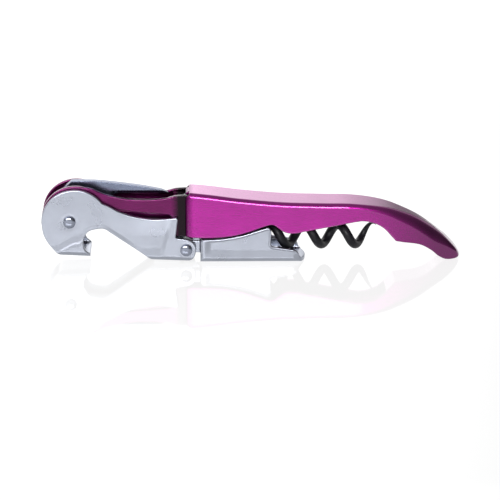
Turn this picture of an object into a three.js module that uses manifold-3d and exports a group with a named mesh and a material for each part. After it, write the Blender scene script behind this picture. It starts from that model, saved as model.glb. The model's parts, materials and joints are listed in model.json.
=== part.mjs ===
// Double-hinged lever corkscrew (waiter's friend), closed, standing on its lever.
// Millimetres, +Z up. +X points to the handle's tip, the width runs along Y.
// Origin: centre of the bounding box in X and Y, on the table in Z.

import * as THREE from 'three';
import { mergeVertices } from 'three/addons/utils/BufferGeometryUtils.js';
import Module from 'manifold-3d';

const wasm = await Module();
wasm.setup();

// ---------------------------------------------------------------- driving dimensions

const GAP = 0.3; // running gap between neighbours

const LEVER_PIVOT = { x: -55.9, z: 13.4 };
const HINGE_PIVOT = { x: -20.3, z: 4.2 };
const WORM_PIVOT = { x: -13.5, z: 11.5 };

const GRIP_HALF_WIDTH = 6.1; // widest point of the handle
const CHANNEL_HALF_WIDTH = 4.7; // worm channel inside the handle
const GRIP_EDGE_RADIUS = 1.6;

const LEVER_OUTER = 5.9; // outer face of the lever's cheeks
const SHEET = 1.2; // sheet thickness of lever and extension
const LEVER_INNER = LEVER_OUTER - SHEET;
const BEND_RADIUS = 1.9; // outside radius where cheek turns into web

const FRAME_OUTER = LEVER_INNER - GAP;
const FRAME_THICKNESS = 1.4;
const FRAME_INNER = FRAME_OUTER - FRAME_THICKNESS;

const EAR_OUTER = FRAME_OUTER; // extension's ears run inside the lever's cheeks
const EAR_THICKNESS = 1.2;
const EAR_RADIUS = 2.5;

const RIVET_RADIUS = 1.1;
const RIVET_HOLE_RADIUS = RIVET_RADIUS + GAP;
const RIVET_HEAD_RADIUS = 1.87;
const RIVET_HEAD_HEIGHT = 0.9;
const RIVET_HEAD_LIFT = 0.15;

const PIN_RADIUS = 0.6;
const WORM_PIN_RADIUS = 1.0;

const BLADE_THICKNESS = 2.2;
const BLADE_TANG_RADIUS = 4.8;
const SPACER_RADIUS = 3.0;

const WORM_DIAMETER = 8.8;
const WORM_WIRE = 2.8;
const WORM_PITCH = 10.5;
const WORM_AXIS_Z = 7.15;
const WORM_FIRST_TOP = -4.3; // x where the first turn starts, at its highest point
const WORM_TURNS = 4.05;
const WORM_LEAD = 5.0; // straight wire between the mount and the first turn
const WORM_TAPER_TURNS = 0.6;
const WORM_TIP_SCALE = 0.12;
const WORM_COIL_RADIUS = (WORM_DIAMETER - WORM_WIRE) / 2;
const WORM_STEPS = 96;
const WORM_TIP_SAMPLES = 400;

const SHELL_FRONT = -19.4; // the plates stand in open slots of the shell up to here
const SLOT_INNER = 2.4; // half of the tongue between those slots

const SCREW = { x: -20.2, shank: 0.8, head: 1.4, bottom: 8.6, top: 20.8, headHeight: 1.0 };
const SPRING_THICKNESS = 0.5;
const SPRING_RIVET_X = 8.0;

// ---------------------------------------------------------------- materials

function material(color, roughness, metalness) {
  return new THREE.MeshStandardMaterial({ color, roughness, metalness });
}

const FINISH = {
  magenta: () => material(0xa8328f, 0.32, 0.85),
  plum: () => material(0x6a2655, 0.38, 0.8),
  nickel: () => material(0xb4bac4, 0.38, 0.9),
  polished: () => material(0xc4c8d2, 0.15, 1.0),
  steel: () => material(0x9ea6b2, 0.28, 1.0),
  black: () => material(0x121216, 0.5, 0.0),
};

// ---------------------------------------------------------------- solid helpers

function solid(geometry) {
  const bare = geometry.clone();
  bare.deleteAttribute('normal');
  bare.deleteAttribute('uv');
  const merged = mergeVertices(bare, 1e-4);
  return new wasm.Manifold(new wasm.Mesh({
    numProp: 3,
    vertProperties: new Float32Array(merged.attributes.position.array),
    triVerts: new Uint32Array(merged.index.array),
  }));
}

function named(name, body, finish) {
  const mesh = body.getMesh();
  const geometry = new THREE.BufferGeometry();
  geometry.setAttribute('position', new THREE.BufferAttribute(new Float32Array(mesh.vertProperties), 3));
  geometry.setIndex(new THREE.BufferAttribute(new Uint32Array(mesh.triVerts), 1));
  geometry.computeVertexNormals();
  const node = new THREE.Mesh(geometry, finish());
  node.name = name;
  return node;
}

// A side outline (x, z) made solid from y = low to y = high.
function slab(shape, low, high, segments = 5) {
  const geometry = new THREE.ExtrudeGeometry(shape, {
    depth: high - low,
    bevelEnabled: false,
    curveSegments: segments,
  });
  geometry.rotateX(Math.PI / 2);
  geometry.translate(0, high, 0);
  return solid(geometry);
}

// A plan outline (x, y) made solid from z = low to z = high.
function column(shape, low, high, segments = 5) {
  const geometry = new THREE.ExtrudeGeometry(shape, {
    depth: high - low,
    bevelEnabled: false,
    curveSegments: segments,
  });
  geometry.translate(0, 0, low);
  return solid(geometry);
}

function block(x0, x1, y0, y1, z0, z1) {
  const geometry = new THREE.BoxGeometry(x1 - x0, y1 - y0, z1 - z0);
  geometry.translate((x0 + x1) / 2, (y0 + y1) / 2, (z0 + z1) / 2);
  return solid(geometry);
}

// A round bar along Y, centred on the side-view point `at`.
function crossBar(at, radius, low, high, sides = 24) {
  const geometry = new THREE.CylinderGeometry(radius, radius, high - low, sides);
  geometry.translate(at.x, (low + high) / 2, at.z);
  return solid(geometry);
}

// A round bar along Z that ends at z = top.
function uprightBar(x, top, radius, length, sides = 16) {
  const geometry = new THREE.CylinderGeometry(radius, radius, length, sides);
  geometry.rotateX(Math.PI / 2);
  geometry.translate(x, 0, top - length / 2);
  return solid(geometry);
}

// A profile of [radius, z] turned about the upright axis at x.
function upright(profile, x, sides) {
  const geometry = new THREE.LatheGeometry(vectors(profile), sides);
  geometry.rotateX(Math.PI / 2);
  geometry.translate(x, 0, 0);
  return solid(geometry);
}

function polygon(points) {
  return new THREE.Shape(points.map(([x, z]) => new THREE.Vector2(x, z)));
}

function vectors(points) {
  return points.map(([x, z]) => new THREE.Vector2(x, z));
}

// ---------------------------------------------------------------- handle

const GRIP_TOP = [
  [-18.6, 22.2], [-12.7, 21.6], [-3.4, 20.4], [8.9, 19.3], [21.3, 18.9], [30.5, 18.7],
  [39.8, 17.5], [46.0, 15.6], [52.1, 12.75], [58.3, 8.2], [62.5, 3.9], [64.6, 1.0],
];

function gripSide() {
  const shape = new THREE.Shape();
  shape.moveTo(-22.2, 8.75);
  shape.lineTo(-22.2, 20.9);
  shape.lineTo(-19.6, 21.9);
  shape.lineTo(...GRIP_TOP[0]);
  shape.splineThru(vectors(GRIP_TOP.slice(1)));
  // rounded tip, then the tail's underside up to the stop behind the worm
  shape.splineThru(vectors([[63.5, 0.2], [61.5, 0.0], [59.5, 0.25], [57.3, 1.5], [55.0, 3.5],
    [51.5, 5.4], [44.9, 6.3]]));
  shape.splineThru(vectors([[42.9, 8.1], [40.2, 11.0], [37.0, 12.75], [33.6, 13.3], [29.5, 12.7]]));
  // long straight edge over the worm, finger bump, notch for the extension's heel
  shape.lineTo(16.5, 10.15);
  shape.splineThru(vectors([[12.9, 9.45], [10.0, 9.8], [8.0, 11.1], [6.6, 12.1], [5.3, 12.2],
    [2.8, 11.4], [-3.4, 9.25], [-9.6, 8.2], [-15.0, 8.0]]));
  shape.lineTo(-19.0, 8.1);
  shape.lineTo(-22.2, 8.75);
  return shape;
}

function gripPlan() {
  const side = [[-22.2, 5.1], [-19.6, 5.85], [-12.0, 5.95], [4.0, 6.05], [20.0, 6.1], [34.0, 5.95],
    [44.0, 5.5], [52.0, 4.85], [58.0, 3.9], [62.0, 2.7], [64.0, 1.4]];
  const shape = new THREE.Shape();
  shape.moveTo(...side[0]);
  shape.lineTo(...side[1]);
  shape.splineThru(vectors([...side.slice(2), [64.6, 0]]));
  shape.splineThru(vectors(side.slice(1).reverse().map(([x, y]) => [x, -y])));
  shape.lineTo(side[0][0], -side[0][1]);
  shape.lineTo(...side[0]);
  return shape;
}

// The handle's blank: everything under the top curve, with the long top edges rounded.
function gripBlank() {
  const shape = new THREE.Shape();
  shape.moveTo(-26, -6);
  shape.lineTo(-26, 22.6);
  shape.lineTo(...GRIP_TOP[0]);
  shape.splineThru(vectors(GRIP_TOP.slice(1)));
  shape.lineTo(66.5, -6);
  shape.lineTo(-26, -6);
  const geometry = new THREE.ExtrudeGeometry(shape, {
    depth: 2 * (GRIP_HALF_WIDTH - GRIP_EDGE_RADIUS),
    bevelThickness: GRIP_EDGE_RADIUS,
    bevelSize: GRIP_EDGE_RADIUS,
    bevelOffset: -GRIP_EDGE_RADIUS,
    bevelSegments: 4,
    curveSegments: 4,
  });
  geometry.rotateX(Math.PI / 2);
  geometry.translate(0, GRIP_HALF_WIDTH - GRIP_EDGE_RADIUS, 0);
  return solid(geometry);
}

function gripShell() {
  const channel = new THREE.Shape();
  channel.moveTo(-30, -8);
  channel.lineTo(-30, 20.3);
  channel.lineTo(-18.6, 20.2);
  channel.splineThru(vectors([[-3.4, 18.4], [8.9, 17.3], [21.3, 16.9], [33, 16.5], [41.6, 15.0]]));
  channel.lineTo(41.6, -8);
  return slab(gripSide(), -GRIP_HALF_WIDTH, GRIP_HALF_WIDTH)
    .intersect(gripBlank())
    .intersect(column(gripPlan(), -1, 30))
    .subtract(slab(channel, -CHANNEL_HALF_WIDTH, CHANNEL_HALF_WIDTH))
    .subtract(block(-30, SHELL_FRONT, SLOT_INNER, CHANNEL_HALF_WIDTH, 19, 30))
    .subtract(block(-30, SHELL_FRONT, -CHANNEL_HALF_WIDTH, -SLOT_INNER, 19, 30))
    .subtract(uprightBar(SCREW.x, SCREW.top + GAP, SCREW.shank + GAP, 4))
    .subtract(uprightBar(SPRING_RIVET_X, 18.5, PIN_RADIUS + GAP, 4));
}

// ---------------------------------------------------------------- frame

const FRAME_PINS = [{ x: -22.6, z: 8.9 }, { x: -17.0, z: 17.2 }];

function framePlate(side) {
  const shape = new THREE.Shape();
  shape.absarc(-54.0, 13.9, 10.45, Math.PI, Math.PI * 0.27, true);
  shape.splineThru(vectors([[-43.6, 21.3], [-38.0, 20.2], [-31.5, 20.0], [-27.0, 20.35], [-23.6, 21.2]]));
  shape.lineTo(-20.9, 21.4);
  shape.lineTo(SHELL_FRONT - GAP, 21.3);
  shape.lineTo(SHELL_FRONT - GAP, 19.7);
  shape.lineTo(-18.6, 19.6);
  shape.lineTo(-11.0, 18.5);
  shape.absarc(-11.0, 16.8, 1.7, Math.PI / 2, 0, true);
  shape.lineTo(-9.3, 11.5);
  shape.absarc(-12.0, 11.3, 2.7, 0, -Math.PI / 2, true);
  shape.lineTo(-23.2, 8.0);
  shape.lineTo(-24.6, 8.9);
  shape.lineTo(-24.8, 14.2);
  shape.splineThru(vectors([[-25.6, 15.1], [-30.0, 15.6], [-36.0, 16.1], [-42.0, 16.6], [-47.0, 13.8],
    [-50.6, 11.6], [-53.0, 8.4], [-56.5, 7.0], [-61.0, 8.8], [-64.0, 11.5]]));
  const [low, high] = side > 0 ? [FRAME_INNER, FRAME_OUTER] : [-FRAME_OUTER, -FRAME_INNER];
  let plate = slab(shape, low, high)
    .subtract(crossBar(LEVER_PIVOT, RIVET_HOLE_RADIUS, -9, 9))
    .subtract(crossBar(WORM_PIVOT, WORM_PIN_RADIUS + GAP, -9, 9));
  for (const pin of FRAME_PINS) {
    plate = plate.subtract(crossBar(pin, PIN_RADIUS + GAP, -9, 9, 16));
  }
  return plate;
}

// Spacer block between the two plates where the neck enters the handle. Its arm closes the neck
// below the foil cutter.
function frameBridge() {
  const half = FRAME_INNER - GAP;
  const outline = polygon([[-24.2, 9.2], [-22.6, 7.6], [-18.7, 7.6], [-18.7, 14.9], [-15.3, 15.4],
    [-15.3, 19.0], [-24.2, 19.6], [-24.2, 15.1], [-30.0, 15.4], [-42.0, 15.8], [-43.4, 14.9],
    [-42.0, 13.9], [-30.0, 13.7], [-24.2, 13.4]]);
  const seat = SCREW.bottom + SCREW.headHeight + 0.1;
  let bridge = slab(outline, -half, half)
    .subtract(uprightBar(SCREW.x, 30, SCREW.shank + GAP, 30))
    .subtract(uprightBar(SCREW.x, seat, SCREW.head + GAP, 4, 24));
  for (const pin of FRAME_PINS) {
    bridge = bridge.subtract(crossBar(pin, PIN_RADIUS + GAP, -9, 9, 16));
  }
  return bridge;
}

function framePin(at) {
  return crossBar(at, PIN_RADIUS, -FRAME_OUTER + 0.05, FRAME_OUTER - 0.05, 16);
}

function wormPin() {
  return crossBar(WORM_PIVOT, WORM_PIN_RADIUS, -FRAME_OUTER + 0.1, FRAME_OUTER - 0.1, 20);
}

// Shank along Y with a domed head on each end: one closed profile turned about Y.
function domedRivet(at) {
  const seat = LEVER_OUTER + RIVET_HEAD_LIFT;
  const points = [new THREE.Vector2(0, -seat - RIVET_HEAD_HEIGHT)];
  const steps = 5;
  for (let i = steps - 1; i >= 0; i -= 1) {
    const angle = (i / steps) * (Math.PI / 2);
    points.push(new THREE.Vector2(RIVET_HEAD_RADIUS * Math.cos(angle),
      -seat - 0.15 - (RIVET_HEAD_HEIGHT - 0.15) * Math.sin(angle)));
  }
  points.push(new THREE.Vector2(RIVET_HEAD_RADIUS, -seat));
  points.push(new THREE.Vector2(RIVET_RADIUS, -seat));
  const mirrored = points.map((p) => new THREE.Vector2(p.x, -p.y)).reverse();
  const geometry = new THREE.LatheGeometry([...points, ...mirrored], 28);
  geometry.translate(at.x, 0, at.z);
  return solid(geometry);
}

function ring(at, inner, outer, low, high) {
  return crossBar(at, outer, low, high, 28).subtract(crossBar(at, inner, low - 1, high + 1, 24));
}

function shellScrew() {
  const { shank, head, bottom, top, headHeight } = SCREW;
  const profile = [[0, bottom], [head, bottom], [head, bottom + headHeight], [shank, bottom + headHeight],
    [shank, top - 0.5], [shank - 0.4, top], [0, top]];
  const slot = block(SCREW.x - 3, SCREW.x + 3, -0.25, 0.25, bottom - 1, bottom + 0.45);
  return upright(profile, SCREW.x, 20).subtract(slot);
}

// A leaf spring: a strip of constant thickness along a side-view line, `half` wide each way.
function leaf(points, half) {
  const upper = points.map(([x, z]) => [x, z + SPRING_THICKNESS]);
  return slab(polygon([...points, ...upper.reverse()]), -half, half);
}

function wormSpring() {
  const line = [[-12.6, 14.45], [-10.5, 14.7], [-3.0, 15.9], [4.0, 16.4], [11.5, 16.3]];
  return leaf(line, 2.2).subtract(uprightBar(SPRING_RIVET_X, 19.5, PIN_RADIUS + GAP, 6));
}

function springRivet() {
  const profile = [[0, 15.5], [1.3, 15.6], [1.5, 15.9], [1.5, 16.15], [PIN_RADIUS, 16.15],
    [PIN_RADIUS, 18.2], [0, 18.2]];
  return upright(profile, SPRING_RIVET_X, 16);
}

// Back spring of the foil cutter: held in front of the bridge, pressing on the blade's tang.
function bladeSpring() {
  const line = [[-50.6, 12.3], [-48.0, 12.7], [-40.0, 12.9], [-30.0, 12.7], [-24.6, 12.4]];
  return leaf(line, 1.6);
}

// ---------------------------------------------------------------- foil cutter

function cutterBlade() {
  const { x, z } = LEVER_PIVOT;
  const shape = new THREE.Shape();
  shape.moveTo(-55.6, 24.7);
  shape.splineThru(vectors([[-54.6, 25.0], [-48.0, 24.95], [-40.8, 24.2], [-34.6, 23.35], [-28.5, 22.2],
    [-26.4, 21.5], [-25.2, 20.7]]));
  shape.lineTo(-42.0, 20.9);
  shape.splineThru(vectors([[-45.5, 19.2], [-48.5, 16.2], [-51.1, 13.8]]));
  shape.absarc(x, z, BLADE_TANG_RADIUS, 0.05, Math.PI, true);
  shape.splineThru(vectors([[-60.4, 17.0], [-58.4, 21.8], [-55.6, 24.7]]));
  return slab(shape, -BLADE_THICKNESS / 2, BLADE_THICKNESS / 2)
    .subtract(crossBar(LEVER_PIVOT, RIVET_HOLE_RADIUS, -3, 3));
}

// ---------------------------------------------------------------- worm

// Centre line of the wire: a short straight lead along the top, then right-handed turns.
class WormPath extends THREE.Curve {
  getPoint(t, target = new THREE.Vector3()) {
    const turnLength = Math.hypot(2 * Math.PI * WORM_COIL_RADIUS, WORM_PITCH);
    const along = t * (WORM_LEAD + WORM_TURNS * turnLength) - WORM_LEAD;
    const turns = Math.max(0, along) / turnLength;
    const angle = turns * 2 * Math.PI;
    return target.set(
      WORM_FIRST_TOP + Math.min(0, along) + turns * WORM_PITCH,
      -WORM_COIL_RADIUS * Math.sin(angle),
      WORM_AXIS_Z + WORM_COIL_RADIUS * Math.cos(angle),
    );
  }
}

// Draws the wire's last stretch in towards its centre line, down to a fine point.
function sharpen(geometry, path) {
  const samples = path.getPoints(WORM_TIP_SAMPLES);
  const firstTapered = Math.round(WORM_TIP_SAMPLES * (1 - WORM_TAPER_TURNS / WORM_TURNS));
  const position = geometry.attributes.position;
  const point = new THREE.Vector3();
  for (let i = 0; i < position.count; i += 1) {
    point.fromBufferAttribute(position, i);
    let nearest = 0;
    samples.forEach((sample, index) => {
      if (sample.distanceToSquared(point) < samples[nearest].distanceToSquared(point)) {
        nearest = index;
      }
    });
    const progress = Math.max(0, nearest - firstTapered) / (WORM_TIP_SAMPLES - firstTapered);
    const scale = 1 - (1 - WORM_TIP_SCALE) * progress;
    point.lerpVectors(samples[nearest], point.clone(), scale);
    position.setXYZ(i, point.x, point.y, point.z);
  }
}

function wormHelix() {
  const section = new THREE.Shape();
  section.absarc(0, 0, WORM_WIRE / 2, 0, 2 * Math.PI);
  const path = new WormPath();
  const geometry = new THREE.ExtrudeGeometry(section, {
    steps: WORM_STEPS,
    curveSegments: 5,
    bevelEnabled: false,
    extrudePath: path,
  });
  sharpen(geometry, path);
  return solid(geometry);
}

function wormMount() {
  const half = FRAME_INNER - GAP;
  const shape = new THREE.Shape();
  const { x, z } = WORM_PIVOT;
  shape.absarc(x, z, 2.6, -Math.PI / 2, Math.PI / 2, true);
  shape.lineTo(-11.6, 13.4);
  shape.lineTo(-9.6, 11.9);
  shape.lineTo(-9.6, 8.5);
  shape.lineTo(-12.2, 8.5);
  return slab(shape, -half, half).subtract(crossBar(WORM_PIVOT, WORM_PIN_RADIUS + GAP, -5, 5));
}

// ---------------------------------------------------------------- lever

// Side outline of the cheeks, from the head round the hook and arch to the hinge ear.
function leverSide() {
  const shape = new THREE.Shape();
  shape.absarc(-54.2, 13.3, 10.3, Math.PI, Math.PI * 0.2, true);
  shape.splineThru(vectors([[-43.5, 18.2], [-40.4, 16.5], [-36.0, 15.0], [-31.0, 14.2], [-27.5, 14.2],
    [-23.2, 14.6]]));
  shape.lineTo(-22.8, 14.2);
  shape.lineTo(-23.5, 8.4);
  shape.lineTo(-23.1, 8.05);
  shape.lineTo(-19.6, 7.5);
  shape.absarc(-20.3, 4.5, 3.0, Math.PI * 0.4, 0, true);
  shape.absarc(-20.7, 3.6, 3.3, 0, -Math.PI / 2, true);
  shape.lineTo(-30.6, 0.75);
  shape.lineTo(-43.5, 10.0);
  shape.splineThru(vectors([[-45.0, 11.0], [-46.6, 11.25], [-49.9, 10.5], [-51.3, 8.6], [-51.5, 6.4],
    [-50.5, 4.2], [-48.8, 3.2]]));
  shape.lineTo(-48.8, 2.0);
  shape.lineTo(-58.9, 2.5);
  shape.splineThru(vectors([[-60.8, 4.3], [-62.6, 6.6], [-64.0, 9.6], [-64.5, 13.3]]));
  return shape;
}

// Cross-section of the bent sheet: square shoulders above, round bends below.
function bentSection(bottom, top) {
  const shape = new THREE.Shape();
  shape.moveTo(-LEVER_OUTER, top);
  shape.lineTo(-LEVER_OUTER, bottom + BEND_RADIUS);
  shape.absarc(-LEVER_OUTER + BEND_RADIUS, bottom + BEND_RADIUS, BEND_RADIUS, Math.PI, 1.5 * Math.PI);
  shape.absarc(LEVER_OUTER - BEND_RADIUS, bottom + BEND_RADIUS, BEND_RADIUS, 1.5 * Math.PI, 2 * Math.PI);
  shape.lineTo(LEVER_OUTER, top);
  shape.lineTo(-LEVER_OUTER, top);
  return shape;
}

// That cross-section swept from x0 to x1 as a bar.
function bentBar(x0, x1, bottom, top) {
  const geometry = new THREE.ExtrudeGeometry(bentSection(bottom, top), {
    depth: x1 - x0,
    bevelEnabled: false,
    curveSegments: 5,
  });
  // the section's x becomes Y, its y becomes Z and its depth becomes X
  geometry.applyMatrix4(new THREE.Matrix4().makeBasis(
    new THREE.Vector3(0, 1, 0), new THREE.Vector3(0, 0, 1), new THREE.Vector3(1, 0, 0)));
  geometry.translate(x0, 0, 0);
  return solid(geometry);
}

function leverBody() {
  const blank = slab(leverSide(), -LEVER_OUTER, LEVER_OUTER);
  const shoulders = bentBar(-70, -40, 2.0, 40).add(bentBar(-40.5, -10, 0.3, 40));
  // everything between the cheeks is open except above the two webs
  const inside = polygon([[-70, 40], [-70, -5], [-59.7, -5], [-59.7, 3.75], [-51.9, 3.35], [-46, 3.1],
    [-46, -5], [-30.2, -5], [-30.2, 1.95], [-22.2, 1.55], [-22.2, -5], [-10, -5], [-10, 40]]);
  return blank
    .intersect(shoulders)
    .subtract(slab(inside, -LEVER_INNER, LEVER_INNER))
    .subtract(crossBar(LEVER_PIVOT, RIVET_HOLE_RADIUS, -9, 9))
    .subtract(crossBar(HINGE_PIVOT, RIVET_HOLE_RADIUS, -9, 9));
}

// ---------------------------------------------------------------- extension (second step)

function extensionSide() {
  const shape = new THREE.Shape();
  shape.moveTo(-16.0, 1.2);
  shape.lineTo(-16.0, 7.0);
  shape.lineTo(-15.6, 7.4);
  shape.splineThru(vectors([[-9.6, 7.7], [-3.4, 8.8], [2.8, 10.75], [4.6, 11.3]]));
  shape.lineTo(5.5, 10.8);
  shape.lineTo(5.8, 9.6);
  shape.lineTo(5.6, 5.2);
  shape.lineTo(12.0, 4.25);
  shape.lineTo(13.6, 3.8);
  shape.lineTo(14.4, 2.6);
  shape.lineTo(16.4, 1.4);
  shape.lineTo(16.4, 0.0);
  shape.lineTo(-14.8, 0.0);
  shape.lineTo(-16.0, 1.2);
  return shape;
}

function extensionPlan() {
  const shape = new THREE.Shape();
  shape.moveTo(-17, -7);
  shape.lineTo(13.2, -7);
  shape.lineTo(13.2, -LEVER_OUTER);
  shape.splineThru(vectors([[14.9, -4.9], [16.0, -2.7], [16.4, 0], [16.0, 2.7], [14.9, 4.9],
    [13.2, LEVER_OUTER]]));
  shape.lineTo(13.2, 7);
  shape.lineTo(-17, 7);
  return shape;
}

function leverExtension() {
  const inside = polygon([[-30, 40], [-30, -5], [-15.6, -5], [-15.6, SHEET], [30, SHEET], [30, 40]]);
  const channel = slab(extensionSide(), -LEVER_OUTER, LEVER_OUTER)
    .intersect(bentBar(-20, 20, 0, 40))
    .intersect(column(extensionPlan(), -1, 20))
    .subtract(slab(inside, -LEVER_INNER, LEVER_INNER));
  const { x, z } = HINGE_PIVOT;
  const ear = new THREE.Shape();
  ear.moveTo(x, z + EAR_RADIUS);
  ear.absarc(x, z, EAR_RADIUS, Math.PI / 2, Math.PI * 1.62, false);
  ear.lineTo(x + 2.0, z - 1.3);
  ear.lineTo(-14.4, z - 1.3);
  ear.lineTo(-14.4, z + EAR_RADIUS);
  ear.lineTo(x, z + EAR_RADIUS);
  let part = channel;
  for (const side of [-1, 1]) {
    const faces = [side * (EAR_OUTER - EAR_THICKNESS), side * EAR_OUTER].sort((a, b) => a - b);
    const joggle = [side * (EAR_OUTER - EAR_THICKNESS), side * (LEVER_OUTER - 0.1)].sort((a, b) => a - b);
    part = part
      .add(slab(ear, ...faces))
      .add(block(-15.9, -14.4, ...joggle, z - 1.3, z + EAR_RADIUS));
  }
  return part.subtract(crossBar(HINGE_PIVOT, RIVET_HOLE_RADIUS, -9, 9));
}

// ---------------------------------------------------------------- assembly

const corkscrew = new THREE.Group();

function place(name, body, finish) {
  corkscrew.add(named(name, body, finish));
}

place('grip_shell', gripShell(), FINISH.magenta);
place('frame_plate_front', framePlate(-1), FINISH.plum);
place('frame_plate_rear', framePlate(1), FINISH.plum);
place('frame_bridge', frameBridge(), FINISH.plum);
place('frame_pin_lower', framePin(FRAME_PINS[0]), FINISH.steel);
place('frame_pin_upper', framePin(FRAME_PINS[1]), FINISH.steel);
place('shell_screw', shellScrew(), FINISH.steel);
place('worm_pin', wormPin(), FINISH.steel);
place('worm_spring', wormSpring(), FINISH.steel);
place('spring_rivet', springRivet(), FINISH.steel);
place('blade_spring', bladeSpring(), FINISH.steel);
place('lever_rivet', domedRivet(LEVER_PIVOT), FINISH.polished);
place('cutter_blade', cutterBlade(), FINISH.steel);
place('worm_mount', wormMount(), FINISH.steel);
place('worm_helix', wormHelix(), FINISH.black);
place('lever_body', leverBody(), FINISH.nickel);
place('hinge_rivet', domedRivet(HINGE_PIVOT), FINISH.polished);
place('lever_extension', leverExtension(), FINISH.nickel);

const spacerLow = BLADE_THICKNESS / 2 + GAP;
const spacerHigh = FRAME_INNER - 0.2;
place('blade_spacer_front', ring(LEVER_PIVOT, RIVET_HOLE_RADIUS, SPACER_RADIUS, -spacerHigh, -spacerLow),
  FINISH.steel);
place('blade_spacer_rear', ring(LEVER_PIVOT, RIVET_HOLE_RADIUS, SPACER_RADIUS, spacerLow, spacerHigh),
  FINISH.steel);

const sleeveHalf = EAR_OUTER - EAR_THICKNESS - GAP;
place('hinge_sleeve', ring(HINGE_PIVOT, RIVET_HOLE_RADIUS, 2.1, -sleeveHalf, sleeveHalf), FINISH.steel);

export default corkscrew;
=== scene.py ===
"""Looks of the double-hinged lever corkscrew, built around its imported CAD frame.

Lengths in the shape functions are millimetres in the CAD frame, and meshes are written in metres.
Each sheet-metal or solid piece is a distance function (negative inside) whose surface is meshed by
`mesh_surface`. Rivets and the worm's wire are rows of rings, meshed by `mesh_rings`.
"""

import json
import math

import bmesh
import bpy
import numpy as np
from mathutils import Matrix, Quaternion, Vector


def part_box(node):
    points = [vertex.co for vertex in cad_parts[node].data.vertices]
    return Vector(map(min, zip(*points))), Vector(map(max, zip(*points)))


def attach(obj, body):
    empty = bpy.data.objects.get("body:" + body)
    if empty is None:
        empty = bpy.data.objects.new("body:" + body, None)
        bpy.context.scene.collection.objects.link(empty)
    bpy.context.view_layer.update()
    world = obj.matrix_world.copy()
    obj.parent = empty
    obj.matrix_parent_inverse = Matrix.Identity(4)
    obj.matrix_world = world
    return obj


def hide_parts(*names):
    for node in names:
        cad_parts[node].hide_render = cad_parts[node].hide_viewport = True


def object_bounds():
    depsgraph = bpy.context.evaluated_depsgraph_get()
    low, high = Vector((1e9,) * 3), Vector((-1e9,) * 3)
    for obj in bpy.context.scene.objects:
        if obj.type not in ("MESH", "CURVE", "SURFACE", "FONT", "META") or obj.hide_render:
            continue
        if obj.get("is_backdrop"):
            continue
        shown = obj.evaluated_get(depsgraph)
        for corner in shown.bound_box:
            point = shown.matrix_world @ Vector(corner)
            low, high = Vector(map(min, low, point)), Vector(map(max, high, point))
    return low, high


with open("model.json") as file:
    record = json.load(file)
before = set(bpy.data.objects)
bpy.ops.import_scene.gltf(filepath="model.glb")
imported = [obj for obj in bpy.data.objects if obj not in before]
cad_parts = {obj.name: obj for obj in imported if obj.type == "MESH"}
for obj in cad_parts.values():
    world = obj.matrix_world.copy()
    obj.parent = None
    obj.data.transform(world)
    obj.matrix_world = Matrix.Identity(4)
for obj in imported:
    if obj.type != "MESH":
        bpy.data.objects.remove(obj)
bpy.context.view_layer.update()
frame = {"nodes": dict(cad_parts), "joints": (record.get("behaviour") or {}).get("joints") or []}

MM = 0.001

PIVOTS = {
    joint["name"]: tuple(value / MM for value in joint["pos_m"]) for joint in frame["joints"]
}
LEVER_X, _, LEVER_Z = PIVOTS["lever_swing"]
HINGE_X, _, HINGE_Z = PIVOTS["extension_fold"]
WORM_X, _, WORM_Z = PIVOTS["worm_swing"]

# Half widths and faces along Y, from the frame.
LEVER_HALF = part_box("lever_body")[1].y / MM
PLATE_INNER, PLATE_OUTER = (corner.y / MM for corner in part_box("frame_plate_rear"))
BLADE_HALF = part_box("cutter_blade")[1].y / MM
EYE_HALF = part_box("worm_mount")[1].y / MM
RIVET_HEAD_RADIUS = (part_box("lever_rivet")[1].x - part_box("lever_rivet")[0].x) / MM / 2

SHEET = 1.2  # thickness of the two levers' sheet metal
BEND_RADIUS = 1.9  # outside of the bends between cheeks and web
EDGE = 0.35  # rounding of the sheet metal's outer edges
TRIMMED = 0.22  # rounding of its inner edges
RIVET_BORE = 1.4
PIN_BORE = 1.3
BORE_EDGE = 0.1  # rounding round a bore

CHANNEL_HALF = 4.7  # half width of the handle's channel for the worm
GRIP_EDGE_RADIUS = 1.6
TAIL_EDGE_RADIUS = 3.8
TIP_EDGE_RADIUS = 0.9
GRIP_FRONT = -20.6
SHELL_FRONT = -19.4  # how deep the slots for the neck plates reach into the handle's front
SLOT_MIDDLE, SLOT_HALF, SLOT_FLOOR = 3.55, 1.15, 19.5


# ------------------------------------------------------------------ outlines

def smooth(points, per=8):
    """A Catmull-Rom run through the points, without its first point."""
    p = np.array(points, float)
    padded = np.vstack([p[:1], p, p[-1:]])
    t = np.arange(1, per + 1)[:, None] / per
    run = []
    for a, b, c, d in zip(padded, padded[1:], padded[2:], padded[3:]):
        run.append(0.5 * (2 * b + (c - a) * t + (2 * a - 5 * b + 4 * c - d) * t ** 2
                          + (3 * b - a - 3 * c + d) * t ** 3))
    return np.vstack(run)


def arc(centre, radius, start, end, count=16):
    """Points on a circle from one angle to another, in degrees."""
    angles = np.radians(np.linspace(start, end, count))
    return np.stack([centre[0] + radius * np.cos(angles), centre[1] + radius * np.sin(angles)], 1)


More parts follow.
